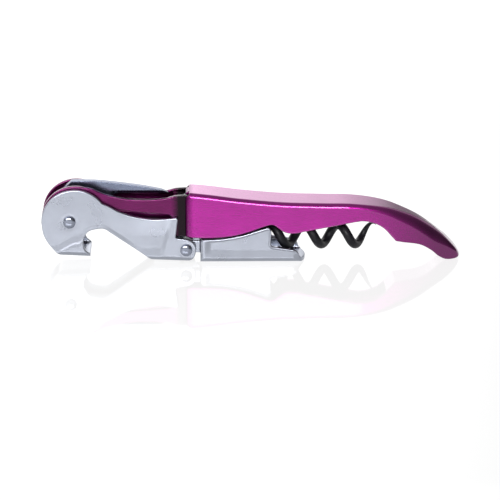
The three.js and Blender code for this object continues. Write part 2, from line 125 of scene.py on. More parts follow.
class Outline:
    """Signed distance to a closed outline, kept in a fine table and read by interpolation."""

    MARGIN = 2.0

    def __init__(self, *runs, step=0.12):
        points = np.vstack([np.atleast_2d(np.array(run, float)) for run in runs])
        self.step = step
        self.low = points.min(0) - self.MARGIN
        size = np.ceil((points.max(0) + self.MARGIN - self.low) / step).astype(int) + 1
        a = self.low[0] + step * np.arange(size[0])[:, None]
        b = self.low[1] + step * np.arange(size[1])[None, :]
        nearest = np.full(size, 1e9)
        inside = np.zeros(size, bool)
        for (x0, y0), (x1, y1) in zip(points, np.roll(points, -1, 0)):
            dx, dy = x1 - x0, y1 - y0
            length = dx * dx + dy * dy
            if length < 1e-12:
                continue
            t = np.clip(((a - x0) * dx + (b - y0) * dy) / length, 0, 1)
            nearest = np.minimum(nearest, (a - x0 - t * dx) ** 2 + (b - y0 - t * dy) ** 2)
            if y0 != y1:
                inside ^= ((y0 > b) != (y1 > b)) & (a < x0 + dx * (b - y0) / dy)
        self.table = np.sqrt(nearest) * np.where(inside, -1, 1)

    def __call__(self, a, b):
        a, b = np.broadcast_arrays(a, b)
        limit = np.array(self.table.shape) - 1.001
        u = np.clip((a - self.low[0]) / self.step, 0, limit[0])
        v = np.clip((b - self.low[1]) / self.step, 0, limit[1])
        i, j = u.astype(int), v.astype(int)
        u, v = u - i, v - j
        t = self.table
        return ((t[i, j] * (1 - u) + t[i + 1, j] * u) * (1 - v)
                + (t[i, j + 1] * (1 - u) + t[i + 1, j + 1] * u) * v)


# ------------------------------------------------------------------ distance helpers

def both(a, b, radius):
    """Intersection of two distances, with its edge rounded to the radius."""
    rounded = np.sqrt(np.maximum(a + radius, 0) ** 2 + np.maximum(b + radius, 0) ** 2)
    return np.minimum(np.maximum(a + radius, b + radius), 0) + rounded - radius


def cut(a, b, radius):
    """a without b, with the edge of the cut rounded."""
    return both(a, -b, radius)


def join(a, b, radius):
    """Union of two distances, with a fillet of the radius in the corner."""
    return -both(-a, -b, radius)


def step_up(value, start, end):
    """0 before start, 1 after end, and an even S-curve between them."""
    t = np.clip((value - start) / (end - start), 0, 1)
    return t * t * (3 - 2 * t)


def bar(x, z, centre, radius):
    """Distance to an endless round bar along Y."""
    return np.hypot(x - centre[0], z - centre[1]) - radius


# ------------------------------------------------------------------ meshing

CORNERS = np.array([(i, j, k) for i in (0, 1) for j in (0, 1) for k in (0, 1)])
EDGES = [(a, b) for a in range(8) for b in range(a + 1, 8)
         if np.abs(CORNERS[a] - CORNERS[b]).sum() == 1]

PROJECT_REACH = 0.06
NORMAL_REACH = 0.05
CURVATURE_REACH = 0.12
FLAT_COSINE = 1 - 2e-6  # a face is flat when its corners' normals agree this closely
FLAT_ANGLE = math.radians(1.0)


def gradient(distance, points, reach):
    """Slope of the distance at the points, from differences over the reach to both sides."""
    slope = np.empty_like(points)
    for axis in range(3):
        shift = np.zeros(3)
        shift[axis] = reach
        slope[:, axis] = distance(*(points + shift).T) - distance(*(points - shift).T)
    return slope / (2 * reach)


def surface_net(distance, low, high, step):
    """Points and quads of the surface where the distance is zero, one point to a crossed cell."""
    axes = [np.arange(a - 1.5 * step, b + 2.5 * step, step) for a, b in zip(low, high)]
    shape = tuple(len(axis) for axis in axes)
    grid = np.broadcast_to(distance(*np.meshgrid(*axes, indexing="ij", sparse=True)), shape)
    inside = grid < 0
    cells = tuple(n - 1 for n in shape)
    total = np.zeros(cells, np.int8)
    for i, j, k in CORNERS:
        total += inside[i:cells[0] + i, j:cells[1] + j, k:cells[2] + k]
    active = np.argwhere((total > 0) & (total < 8))
    values = np.stack([grid[tuple((active + corner).T)] for corner in CORNERS], 1)
    offset = np.zeros((len(active), 3))
    crossings = np.zeros(len(active))
    for a, b in EDGES:
        crossed = (values[:, a] < 0) != (values[:, b] < 0)
        t = np.where(crossed, values[:, a] / np.where(crossed, values[:, a] - values[:, b], 1), 0)
        point = CORNERS[a] + t[:, None] * (CORNERS[b] - CORNERS[a])
        offset += np.where(crossed[:, None], point, 0)
        crossings += crossed
    origin = np.array([axis[0] for axis in axes])
    points = origin + step * (active + offset / crossings[:, None])
    index = np.full(cells, -1)
    index[tuple(active.T)] = np.arange(len(active))
    quads = []
    for axis in range(3):
        u, v = (axis + 1) % 3, (axis + 2) % 3
        first = np.take(inside, np.arange(shape[axis] - 1), axis)
        second = np.take(inside, np.arange(1, shape[axis]), axis)
        edges = np.argwhere(first != second)
        edges = edges[(edges[:, u] > 0) & (edges[:, v] > 0)]
        edges = edges[(edges[:, u] < cells[u]) & (edges[:, v] < cells[v])]
        leaves = first[tuple(edges.T)]
        ring = []
        for du, dv in ((-1, -1), (0, -1), (0, 0), (-1, 0)):
            cell = edges.copy()
            cell[:, u] += du
            cell[:, v] += dv
            ring.append(index[tuple(cell.T)])
        ring = np.stack(ring, 1)
        ring[~leaves] = ring[~leaves][:, ::-1]
        quads.append(ring)
    return points, np.vstack(quads)


def mesh_surface(name, distance, low, high, step):
    """An object whose surface is the distance's zero, its flat areas merged into large faces."""
    points, quads = surface_net(distance, low, high, step)
    for _ in range(3):
        slope = gradient(distance, points, PROJECT_REACH)
        move = distance(*points.T) / np.maximum((slope ** 2).sum(1), 0.25)
        move = np.clip(move, -0.6 * step, 0.6 * step)
        points -= move[:, None] * slope
    mesh = bpy.data.meshes.new(name)
    mesh.from_pydata((points * MM).tolist(), [], quads.tolist())
    level = level_points(unit_normals(distance, points), quads)
    shape = bmesh.new()
    shape.from_mesh(mesh)
    shape.verts.ensure_lookup_table()
    inner = [vertex for vertex in shape.verts if level[vertex.index]]
    edges = [edge for edge in shape.edges if all(level[vertex.index] for vertex in edge.verts)]
    bmesh.ops.dissolve_limit(shape, angle_limit=FLAT_ANGLE, verts=inner, edges=edges)
    bmesh.ops.triangulate(shape, faces=shape.faces[:], ngon_method="BEAUTY")
    shape.to_mesh(mesh)
    shape.free()
    corners = np.empty(len(mesh.vertices) * 3, np.float32)
    mesh.vertices.foreach_get("co", corners)
    mesh.shade_smooth()
    corners = corners.reshape(-1, 3).astype(float) / MM
    mesh.normals_split_custom_set_from_vertices(unit_normals(distance, corners).tolist())
    rounding = mesh.attributes.new("rounding", "FLOAT", "POINT")
    rounding.data.foreach_set("value", curvature(distance, corners))
    return add_object(name, mesh)


def unit_normals(distance, points):
    """Outward normals of the surface at the points."""
    normals = gradient(distance, points, NORMAL_REACH)
    return normals / np.maximum(np.linalg.norm(normals, axis=1, keepdims=True), 1e-6)


def curvature(distance, points):
    """How tightly the surface bends outwards at the points, per millimetre."""
    total = -6 * distance(*points.T)
    for axis in range(3):
        shift = np.zeros(3)
        shift[axis] = CURVATURE_REACH
        total = total + distance(*(points + shift).T) + distance(*(points - shift).T)
    return np.ascontiguousarray(total / CURVATURE_REACH ** 2, np.float32)


def level_points(normals, quads):
    """Which points have only flat faces round them."""
    corners = normals[quads]
    flat = (corners * corners[:, :1]).sum(2).min(1) > FLAT_COSINE
    level = np.ones(len(normals), bool)
    level[quads[~flat].ravel()] = False
    return level


def add_object(name, mesh):
    """Puts a mesh into the scene under its own name."""
    piece = bpy.data.objects.new(name, mesh)
    bpy.context.scene.collection.objects.link(piece)
    return piece


def mesh_rings(name, rings, ends):
    """A skin over closed rings of points, with each end closed by a fan to its end point."""
    count = len(rings[0])
    points = [tuple(p) for ring in rings for p in ring]
    faces = []
    for i in range(len(rings) - 1):
        for j in range(count):
            k = (j + 1) % count
            faces.append((i * count + j, i * count + k, (i + 1) * count + k, (i + 1) * count + j))
    first, last = len(points), len(points) + 1
    points += [tuple(ends[0]), tuple(ends[1])]
    row = (len(rings) - 1) * count
    for j in range(count):
        k = (j + 1) % count
        faces.append((first, k, j))
        faces.append((last, row + j, row + k))
    mesh = bpy.data.meshes.new(name)
    mesh.from_pydata([tuple(c * MM for c in p) for p in points], [], faces)
    shape = bmesh.new()
    shape.from_mesh(mesh)
    bmesh.ops.recalc_face_normals(shape, faces=shape.faces[:])
    shape.to_mesh(mesh)
    shape.free()
    mesh.shade_smooth()
    return add_object(name, mesh)


def dress(piece, body, node, paint):
    """Puts a finished piece on its body, in place of its CAD node."""
    piece.data.materials.clear()
    piece.data.materials.append(paint)
    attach(piece, body)
    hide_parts(node)
    return piece


# ------------------------------------------------------------------ materials

NOISE_LOW, NOISE_HIGH = 0.3, 0.7  # where most of a noise texture's values lie
WEAR_START, WEAR_END = 2.0, 3.6  # curvatures between which an edge begins to shine
COLLAR_SHADE_SHARE = 0.1  # how much of its colour the shell keeps in its collar, where shade is painted
WORM_BLACK = (0.006, 0.006, 0.008)


def map_range(nodes, links, value, span, levels):
    """A value mapped from a span onto two levels, evenly in between."""
    node = nodes.new("ShaderNodeMapRange")
    for key, number in zip(("From Min", "From Max", "To Min", "To Max"), (*span, *levels)):
        node.inputs[key].default_value = number
    links.new(value, node.inputs["Value"])
    return node.outputs["Result"]


class Paint:
    """A Principled material with object coordinates ready for procedural detail."""

    def __init__(self, name, color, roughness, metallic=1.0, coat=0.0, coat_roughness=0.1):
        self.material = bpy.data.materials.new(name)
        self.material.use_nodes = True
        self.nodes = self.material.node_tree.nodes
        self.links = self.material.node_tree.links
        self.shader = self.nodes["Principled BSDF"]
        self.set("Base Color", (*color, 1))
        self.set("Roughness", roughness)
        self.set("Metallic", metallic)
        self.set("Coat Weight", coat)
        self.set("Coat Roughness", coat_roughness)
        self.place = self.nodes.new("ShaderNodeTexCoord").outputs["Object"]

    def set(self, socket, value):
        self.shader.inputs[socket].default_value = value

    def noise(self, scale, detail=3.0):
        """Noise over object space; scale is cycles per millimetre along X, Y and Z."""
        mapping = self.nodes.new("ShaderNodeMapping")
        mapping.inputs["Scale"].default_value = [s / MM for s in scale]
        texture = self.nodes.new("ShaderNodeTexNoise")
        texture.inputs["Scale"].default_value = 1.0
        texture.inputs["Detail"].default_value = detail
        self.links.new(self.place, mapping.inputs["Vector"])
        self.links.new(mapping.outputs["Vector"], texture.inputs["Vector"])
        return texture.outputs["Fac"]

    def span(self, value, low, high, start=NOISE_LOW, end=NOISE_HIGH):
        """Maps a value from start to end, by default a noise, onto low to high."""
        return map_range(self.nodes, self.links, value, (start, end), (low, high))

    def mix(self, factor, first, second):
        """A colour between two colours, or colour outputs."""
        node = self.nodes.new("ShaderNodeMix")
        node.data_type = "RGBA"
        for socket, value in ((node.inputs["A"], first), (node.inputs["B"], second)):
            if isinstance(value, tuple):
                socket.default_value = (*value, 1)
            else:
                self.links.new(value, socket)
        self.links.new(factor, node.inputs["Factor"])
        return node.outputs["Result"]

    def connect(self, output, socket):
        self.links.new(output, self.shader.inputs[socket])

    def bump(self, heights, strength, distance):
        """Bumps from one or more height outputs, distance in millimetres."""
        normal = None
        for height in heights:
            node = self.nodes.new("ShaderNodeBump")
            node.inputs["Strength"].default_value = strength
            node.inputs["Distance"].default_value = distance * MM
            self.links.new(height, node.inputs["Height"])
            if normal is not None:
                self.links.new(normal, node.inputs["Normal"])
            normal = node.outputs["Normal"]
        self.connect(normal, "Normal")

    def edge_wear(self, amount):
        """The amount on tight outward edges, and 0 elsewhere."""
        rounding = self.nodes.new("ShaderNodeAttribute")
        rounding.attribute_name = "rounding"
        return self.span(rounding.outputs["Fac"], 0.0, amount, WEAR_START, WEAR_END)


def anodised(name, color, shade, roughness, coat, shaded_end, shaded_collar=None):
    """Satin anodised aluminium, drawn along X: fine streaks and cloudy tone under a clear seal.

    shaded_end is (start, end, share of the colour left), where painted shade darkens the colour
    along X.
    shaded_collar is (start, end), where painted shade without coat gives way to full colour and
    coat along X.
    Both are in millimetres.
    """
    paint = Paint(name, color, roughness, coat=coat, coat_roughness=0.06)
    streaks = paint.noise((0.12, 9.0, 9.0), detail=4.0)
    clouds = paint.noise((0.09, 0.16, 0.16), detail=2.0)
    tone = paint.mix(paint.span(clouds, 0.0, 1.0), shade, color)
    along = paint.nodes.new("ShaderNodeSeparateXYZ")
    paint.links.new(paint.place, along.inputs["Vector"])
    if shaded_collar is not None:
        start, end = shaded_collar
        # Painted shade on the front collar: a darker colour and no coat before start, full colour
        # and coat after end.
        finish = paint.span(along.outputs["X"], 0.0, 1.0, start * MM, end * MM)
        tone = paint.mix(finish, tuple(COLLAR_SHADE_SHARE * c for c in color), tone)
        paint.connect(finish, "Coat Weight")
    # Painted shade: the colour darkens along X from start to end, down to the given share of it.
    start, end, share = shaded_end
    painted_shade = paint.span(along.outputs["X"], 0.0, 1.0, start * MM, end * MM)
    tone = paint.mix(painted_shade, tone, tuple(share * c for c in color))
    paint.connect(tone, "Base Color")
    paint.connect(paint.span(streaks, roughness - 0.04, roughness + 0.06), "Roughness")
    paint.bump([streaks], 0.05, 0.02)
    return paint.material


def nickel(name, color, roughness):
    """Tumbled nickel plate: fine pebbled grain, soft handling marks and brighter edges."""
    paint = Paint(name, color, roughness)
    grain = paint.noise((3.0, 3.0, 3.0), detail=1.0)
    dimples = paint.noise((0.7, 0.7, 0.7), detail=0.0)
    clouds = paint.noise((0.14, 0.14, 0.14), detail=3.0)
    darker = tuple(0.9 * c for c in color)
    tone = paint.mix(paint.span(clouds, 0.0, 1.0), darker, color)
    tone = paint.mix(paint.edge_wear(0.2), tone, tuple(1.2 * c for c in color))
    paint.connect(tone, "Base Color")
    paint.connect(paint.span(clouds, roughness - 0.01, roughness + 0.015), "Roughness")
    paint.bump([grain, dimples], 0.012, 0.02)
    return paint.material


def steel(name, color, roughness, grain=(6.0, 6.0, 0.3)):
    """Ground or drawn steel; grain is its lines' cycles per millimetre along X, Y and Z."""
    paint = Paint(name, color, roughness)
    lines = paint.noise(grain, detail=3.0)
    clouds = paint.noise((0.2, 0.2, 0.2), detail=2.0)
    paint.connect(paint.mix(paint.span(clouds, 0.0, 1.0), tuple(0.86 * c for c in color), color),
                  "Base Color")
    paint.connect(paint.span(lines, roughness - 0.02, roughness + 0.03), "Roughness")
    paint.bump([lines], 0.08, 0.015)
    return paint.material


def coating(name):
    """Black non-stick coating: slightly orange-peeled, greyer where a cork has rubbed it."""
    paint = Paint(name, WORM_BLACK, 0.4, metallic=0.0)
    paint.set("Specular IOR Level", 0.16)
    peel = paint.noise((2.2, 2.2, 2.2), detail=3.0)
    rub = paint.noise((0.5, 0.9, 0.9), detail=4.0)
    rubbed = paint.span(rub, 0.0, 1.0, 0.55, 0.8)
    paint.connect(paint.mix(rubbed, WORM_BLACK, (0.016, 0.016, 0.02)), "Base Color")
    paint.connect(paint.span(peel, 0.34, 0.5), "Roughness")
    paint.bump([peel], 0.12, 0.03)
    return paint.material


# Painted shade: the magenta darkens towards the tail for dark reflections, and its front collar is
# darkened and uncoated.
MAGENTA = anodised("anodised_magenta", (0.31, 0.003, 0.215), (0.275, 0.002, 0.19), 0.28, 1.0,
                   shaded_end=(34.0, 58.0, 0.42), shaded_collar=(-20.4, -18.0))
# Painted shadow: the plum plates darken to near black where they run into the handle's front.
PLUM = anodised("anodised_plum", (0.11, 0.006, 0.07), (0.09, 0.005, 0.055), 0.28, 0.4,
                shaded_end=(-25.0, -22.6, 0.05))
NICKEL = nickel("satin_nickel", (0.34, 0.36, 0.415), 0.28)
POLISHED = steel("polished_steel", (0.25, 0.27, 0.33), 0.16, (1.0, 1.0, 1.0))
BLADE_STEEL = steel("blade_steel", (0.16, 0.18, 0.25), 0.26, (0.4, 8.0, 8.0))
INNER_STEEL = steel("inner_steel", (0.3, 0.31, 0.33), 0.36)
COATING = coating("worm_coating")


# ------------------------------------------------------------------ handle

GRIP_TOP = [(-18.6, 22.2), (-12.7, 21.6), (-3.4, 20.4), (8.9, 19.3), (21.3, 18.9), (30.5, 18.7),
            (39.8, 17.5), (46.0, 15.6), (52.1, 12.75), (58.3, 8.2), (62.5, 3.9), (64.6, 1.0)]
GRIP_WIDTH = [(-21.6, 5.06), (-20.8, 5.2), (-19.8, 5.5), (-18.6, 5.75), (-17.2, 5.87),
              (-15.0, 5.93), (-8.0, 6.0), (4.0, 6.05), (20.0, 6.1), (34.0, 5.95), (44.0, 5.5),
              (52.0, 4.85), (58.0, 4.0), (62.0, 3.1), (64.0, 1.9), (64.6, 0)]


def grip_shell():
    """The handle: side view above and below, times plan, with rounded edges and an open channel."""
    top = Outline([(-30, -8), (-30, 20.55), (-22.2, 20.75), (-21.0, 21.0)],
                  smooth([(-21.0, 21.0), (-19.8, 21.9), *GRIP_TOP]), [(66, -8)])
    tail = smooth([(64.6, 1.0), (63.5, 0.2), (61.5, 0.0), (59.5, 0.25), (57.3, 1.5), (55.0, 3.5),
                   (51.5, 5.4), (46.5, 6.25)])
    finger_rest = smooth([(44.2, 6.6), (42.9, 8.1), (40.2, 11.0), (37.0, 12.75), (33.6, 13.3),
                          (29.5, 12.7)])
    bump = smooth([(16.5, 10.15), (12.9, 9.45), (10.0, 9.8), (8.0, 11.1), (6.6, 12.1), (5.3, 12.2),
                   (2.8, 11.4), (-3.4, 9.25), (-9.6, 8.2), (-15.0, 8.0)])
    below = Outline([(GRIP_FRONT, 30), (70, 30), (70, 1.0), (64.6, 1.0)], tail, finger_rest,
                    [(16.5, 10.15)], bump, [(-19.0, 8.1), (GRIP_FRONT, 8.35)])
    channel = Outline([(-40, -8), (-40, 20.3), (-18.6, 20.2)],
                      smooth([(-18.6, 20.2), (-3.4, 18.4), (8.9, 17.3), (21.3, 16.9), (33, 16.5),
                              (41.6, 15.0)]), [(41.6, -8)])
    width = Outline([(-22.2, -5.05)],
                    smooth([(x, -y) for x, y in GRIP_WIDTH]),
                    smooth([(x, y) for x, y in reversed(GRIP_WIDTH)]), [(-22.2, 5.05)])

    def distance(x, y, z):
        toward_tail = (TAIL_EDGE_RADIUS - GRIP_EDGE_RADIUS) * step_up(x, 33.0, 54.0)
        toward_tip = (TIP_EDGE_RADIUS - TAIL_EDGE_RADIUS) * step_up(x, 55.0, 64.0)
        outside = both(top(x, z), width(x, y), GRIP_EDGE_RADIUS + toward_tail + toward_tip)
        outside = both(outside, below(x, z), EDGE)
        hollow = both(channel(x, z), np.abs(y) - CHANNEL_HALF, 0.6)
        slots = both(np.maximum(x - SHELL_FRONT, SLOT_FLOOR - z),
                     np.abs(np.abs(y) - SLOT_MIDDLE) - SLOT_HALF, 0.2)
        return cut(cut(outside, hollow, 0.2), slots, 0.2)

    piece = mesh_surface("grip_shell_skin", distance, (-22.3, -6.2, -0.1), (64.7, 6.2, 22.4), 0.3)
    return dress(piece, "handle", "grip_shell", MAGENTA)


# ------------------------------------------------------------------ neck plates

def frame_plate(side):
    """A neck plate, front for side -1 and rear for side 1."""
    notch = SHELL_FRONT - 0.3
    outline = Outline(
        arc((-54.0, 13.9), 10.45, 180, 75, 30),
        smooth([(-51.3, 24.0), (-48.9, 23.5), (-46.4, 22.3), (-43.6, 21.35), (-38.0, 20.2),
                (-31.5, 20.0), (-27.0, 20.35), (-23.6, 21.2)]),
        [(-20.9, 21.4), (notch, 21.3), (notch, 19.7), (-18.6, 19.6)],
        arc((-11.0, 16.8), 1.7, 90, 0), [(-9.3, 11.5)], arc((-12.0, 11.3), 2.7, 0, -90),
        [(-23.2, 8.0), (-24.6, 8.9), (-24.8, 14.2)],
        smooth([(-24.8, 14.2), (-25.6, 15.1), (-30.0, 15.6), (-36.0, 16.1), (-42.0, 16.6),
                (-47.0, 13.8), (-50.6, 11.6), (-53.0, 8.4), (-56.5, 7.0), (-61.0, 8.8),
                (-64.0, 11.5)]))
    middle = side * (PLATE_OUTER + PLATE_INNER) / 2
    half = (PLATE_OUTER - PLATE_INNER) / 2

    def distance(x, y, z):
        plate = both(outline(x, z), np.abs(y - middle) - half, 0.3)
        for centre, radius in (((LEVER_X, LEVER_Z), RIVET_BORE), ((WORM_X, WORM_Z), PIN_BORE)):
            plate = cut(plate, bar(x, z, centre, radius), BORE_EDGE)
        return plate

    name = "front" if side < 0 else "rear"
    piece = mesh_surface(f"neck_plate_{name}", distance, (-64.6, middle - half, 6.9),
                         (-9.2, middle + half, 24.5), 0.24)
    return dress(piece, "handle", f"frame_plate_{name}", PLUM)


# ------------------------------------------------------------------ lever

LEVER_BORES = ((LEVER_X, LEVER_Z), (HINGE_X, HINGE_Z))
WEB_END = -40.0  # the hook's web lies left of this, and the lever's own web right of it


def lever_body():
    """The lever: two cheeks on a bent web, open on top, with the web left out under the arch."""
    outline = Outline(
        arc((-54.2, 13.3), 10.3, 180, 36, 36),
        smooth([(-45.9, 19.35), (-43.5, 18.2), (-40.4, 16.5), (-36.0, 15.0), (-31.0, 14.2),
                (-27.5, 14.2), (-23.2, 14.6)]),
        [(-22.8, 14.2), (-23.5, 8.4), (-23.1, 8.05), (-19.6, 7.5)],
        arc((-20.3, 4.5), 3.0, 72, 0), arc((-20.7, 3.6), 3.3, 0, -90),
        [(-30.6, 0.75), (-43.5, 10.0)],
        smooth([(-43.5, 10.0), (-45.0, 11.0), (-46.6, 11.25), (-49.9, 10.5), (-51.4, 8.6),
                (-51.8, 6.4), (-51.2, 4.4), (-49.8, 3.2)]),
        [(-49.7, 2.0), (-58.9, 2.5)],
        smooth([(-58.9, 2.5), (-60.8, 4.3), (-62.6, 6.6), (-64.0, 9.6), (-64.5, 13.3)]))
    inside = Outline([(-70, 40), (-70, -5), (-59.7, -5), (-59.7, 3.4), (-51.9, 3.1), (-46, 3.1),
                      (-46, -5), (-30.2, -5), (-30.2, 1.95), (-22.2, 1.55), (-22.2, -5), (-10, -5),
                      (-10, 40)], step=0.25)

    def flare(x, z):
        """How far the cheek leans out: a skirt over the hook, and a lip along the arch."""
        line = 5.9 + 3.3 * step_up(x, -61.5, -53.5) + 1.8 * step_up(x, -53.5, -50.8)
        skirt = 0.32 * step_up(line - z, 0.0, 3.8) + 0.12 * step_up(line - z, 2.0, 3.0)
        skirt = skirt * (1 - step_up(x, -48.0, -44.0))
        arch = step_up(x, -52.5, -51.0) * (1 - step_up(x, -41.0, -34.0))
        arch = arch * (1 - step_up(z, 12.2, 13.2))
        lip = (1 - step_up(-outline(x, z), 0.1, 1.4)) * arch
        return np.maximum(skirt, 0.2 * lip)

    def pressed(x, z):
        """Depth of the pressed panel that ends at the slanted crease before the hinge ear."""
        crease = -26.9 + (z - 3.3) * 0.255
        ramp = np.clip((x + 48.0) / 21.0, 0, 1.1) ** 2
        wall = 1 - step_up(x, crease - 1.8, crease)
        return 0.42 * ramp * wall * step_up(z, 1.4, 5.0) * (1 - step_up(z, 8.5, 14.8))

    def dimple(x, z):
        """Depth of the shallow round seats round the two rivets."""
        return 0.03 * sum(1 - step_up(bar(x, z, centre, 0), 2.1, 2.9) for centre in LEVER_BORES)

    def distance(x, y, z):
        half = LEVER_HALF + flare(x, z) - pressed(x, z)
        web = np.where(x < WEB_END, 2.0 + 0.05 * np.clip(-48.8 - x, 0, 12),
                       0.3 + 0.043 * (HINGE_X - x))
        outside = both(outline(x, z), np.abs(y) - half + dimple(x, z), EDGE)
        outside = np.maximum(outside, both(web - z, np.abs(y) - half, BEND_RADIUS))
        hollow = both(inside(x, z), np.abs(y) - half + SHEET, 0.7)
        part = cut(outside, hollow, TRIMMED)
        for centre in LEVER_BORES:
            part = cut(part, bar(x, z, centre, RIVET_BORE), BORE_EDGE)
        return part

    piece = mesh_surface("lever_cheeks", distance, (-64.6, -6.5, 0.1), (-17.2, 6.5, 23.8), 0.22)
    return dress(piece, "lever", "lever_body", NICKEL)


# ------------------------------------------------------------------ extension

def lever_extension():
    """The second lever: a tray with a pressed panel, a rounded tongue and two hinge arms."""
    outline = Outline(
        [(-16.0, -0.5), (-16.0, 7.0)], arc((-15.4, 6.8), 0.6, 170, 95, 6),
        smooth([(-15.4, 7.4), (-9.6, 7.7), (-3.4, 8.8), (2.8, 10.75), (4.6, 11.3)]),
        smooth([(4.6, 11.3), (5.3, 11.1), (5.75, 10.2), (5.8, 9.2)]),
        [(5.6, 6.0)], arc((6.7, 6.2), 1.1, 190, 260, 8),
        [(12.0, 4.25)], smooth([(12.0, 4.25), (13.4, 3.9), (14.2, 3.0), (14.6, 2.0), (15.6, 1.3)]),
        [(16.6, 1.2), (16.6, -0.5)])
    plan = Outline(
        [(-16.6, -8), (13.0, -8), (13.0, -LEVER_HALF)],
        smooth([(13.0, -LEVER_HALF), (14.9, -4.9), (16.0, -2.7), (16.4, 0), (16.0, 2.7),
                (14.9, 4.9), (13.0, LEVER_HALF)]),
        [(13.0, 8), (-16.6, 8)])
    ear_top, ear_bottom = HINGE_Z + 2.5, HINGE_Z - 1.3
    ear = Outline(arc((HINGE_X, HINGE_Z), 2.5, 90, 292, 24),
                  [(HINGE_X + 2.0, ear_bottom), (-14.6, ear_bottom), (-14.6, ear_top)])

    def panel(x, z):
        """Depth of the pressed panel inside the raised rim."""
        rim = step_up(-outline(x, z), 0.3, 0.9)
        return 0.3 * step_up(x, -15.0, -12.4) * step_up(z, 1.3, 4.2) * rim

    def distance(x, y, z):
        wide = np.abs(y) + panel(x, z)
        outside = both(both(outline(x, z), wide - LEVER_HALF, EDGE), plan(x, y), EDGE)
        outside = np.maximum(outside, both(-z, wide - LEVER_HALF, BEND_RADIUS))
        outside = np.maximum(outside, both(-16.0 - x, wide - LEVER_HALF, 1.3))
        hollow = both(np.maximum(SHEET - z, -15.7 - x), wide - LEVER_HALF + SHEET, 0.7)
        part = cut(outside, hollow, TRIMMED)
        arm = both(ear(x, z), np.abs(wide - PLATE_OUTER + 0.6) - 0.6, 0.25)
        elbow = both(both(np.abs(x + 15.2) - 0.75, np.abs(wide - 4.4) - 1.2, 0.3),
                     np.maximum(z - ear_top, ear_bottom - z), 0.25)
        part = join(part, join(arm, elbow, 0.3), 0.25)
        return cut(part, bar(x, z, (HINGE_X, HINGE_Z), RIVET_BORE), BORE_EDGE)

    piece = mesh_surface("extension_cheeks", distance, (-22.9, -6.0, -0.1), (16.5, 6.0, 11.4), 0.22)
    return dress(piece, "extension", "lever_extension", NICKEL)


# ------------------------------------------------------------------ foil cutter

TOOTH = 0.9  # length of one serration
TOOTH_DEPTH = 0.16


def cutter_blade():
    """The foil cutter: a flat blade, ground thin and serrated along its cutting edge."""
    outline = Outline(
        smooth([(-55.6, 24.7), (-54.6, 25.0), (-48.0, 24.95), (-40.8, 24.2), (-34.6, 23.35),
                (-28.5, 22.2), (-26.4, 21.5), (-25.2, 20.7)]),
        [(-42.0, 20.9)], smooth([(-42.0, 20.9), (-45.5, 19.2), (-48.5, 16.2), (-51.1, 13.8)]),
        arc((LEVER_X, LEVER_Z), 4.8, 3, -180, 40),
        smooth([(-60.7, 13.4), (-60.4, 17.0), (-58.4, 21.8), (-55.6, 24.7)]), step=0.08)

    def distance(x, y, z):
        teeth = TOOTH_DEPTH * np.abs(np.sin(math.pi * x / TOOTH)) * step_up(x, -42.0, -41.0)
        height = z - 20.75 - teeth
        grind = np.clip(0.1 + 0.85 * height, 0.1, BLADE_HALF)
        half = BLADE_HALF + (grind - BLADE_HALF) * step_up(x, -43.5, -40.5)
        blade = both(outline(x, z), np.abs(y) - half, 0.12)
        edge = step_up(x, -42.2, -41.8)
        blade = np.maximum(blade, -height * edge - (1 - edge))
        return cut(blade, bar(x, z, (LEVER_X, LEVER_Z), RIVET_BORE), BORE_EDGE)

    piece = mesh_surface("foil_cutter", distance, (-60.9, -1.2, 8.5), (-25.0, 1.2, 25.1), 0.16)
    return dress(piece, "blade", "cutter_blade", BLADE_STEEL)


# ------------------------------------------------------------------ worm

WORM_WIRE_RADIUS = 1.4
WORM_COIL_RADIUS = 3.0
WORM_PITCH = 10.5
WORM_TURN_LENGTH = math.hypot(2 * math.pi * WORM_COIL_RADIUS, WORM_PITCH)
WORM_AXIS_Z = 7.15
WORM_FIRST_TOP = -4.3  # X where the coil begins, on top
WORM_LEAD = 5.0  # straight wire before the coil
WORM_TURNS = 4.05
WORM_TAPER_TURNS = 0.6
WORM_STEPS, WORM_SIDES = 330, 24


def worm_centre(turns):
    """Centre of the wire; negative turns are the straight lead, in turns of wire length."""
    angle = 2 * math.pi * max(turns, 0)
    return Vector((WORM_FIRST_TOP + min(turns, 0) * WORM_TURN_LENGTH + max(turns, 0) * WORM_PITCH,
                   -WORM_COIL_RADIUS * math.sin(angle),
                   WORM_AXIS_Z + WORM_COIL_RADIUS * math.cos(angle)))


def worm_helix():
    """The worm's wire, swept round its coil and drawn out to an off-centre point."""
    start = -WORM_LEAD / WORM_TURN_LENGTH
    rings = []
    for i in range(WORM_STEPS + 1):
        turns = start + (WORM_TURNS - start) * i / WORM_STEPS
        centre = worm_centre(turns)
        along = (worm_centre(turns + 0.01) - worm_centre(turns - 0.01)).normalized()
        angle = 2 * math.pi * max(turns, 0)
        out = Vector((0, -math.sin(angle), math.cos(angle)))
        out = (out - along * out.dot(along)).normalized()
        side = along.cross(out)
        taper = max(0.0, (turns - WORM_TURNS + WORM_TAPER_TURNS) / WORM_TAPER_TURNS)
        radius = WORM_WIRE_RADIUS * (1 - 0.97 * taper ** 1.4)
        lift = (WORM_WIRE_RADIUS - radius) * 0.5
        rings.append([centre + out * lift + radius * (out * math.cos(a) + side * math.sin(a))
                      for a in (2 * math.pi * j / WORM_SIDES for j in range(WORM_SIDES))])
    ends = [sum(ring, Vector()) / WORM_SIDES for ring in (rings[0], rings[-1])]
    piece = mesh_rings("worm_wire", rings, ends)
    return dress(piece, "worm", "worm_helix", COATING)


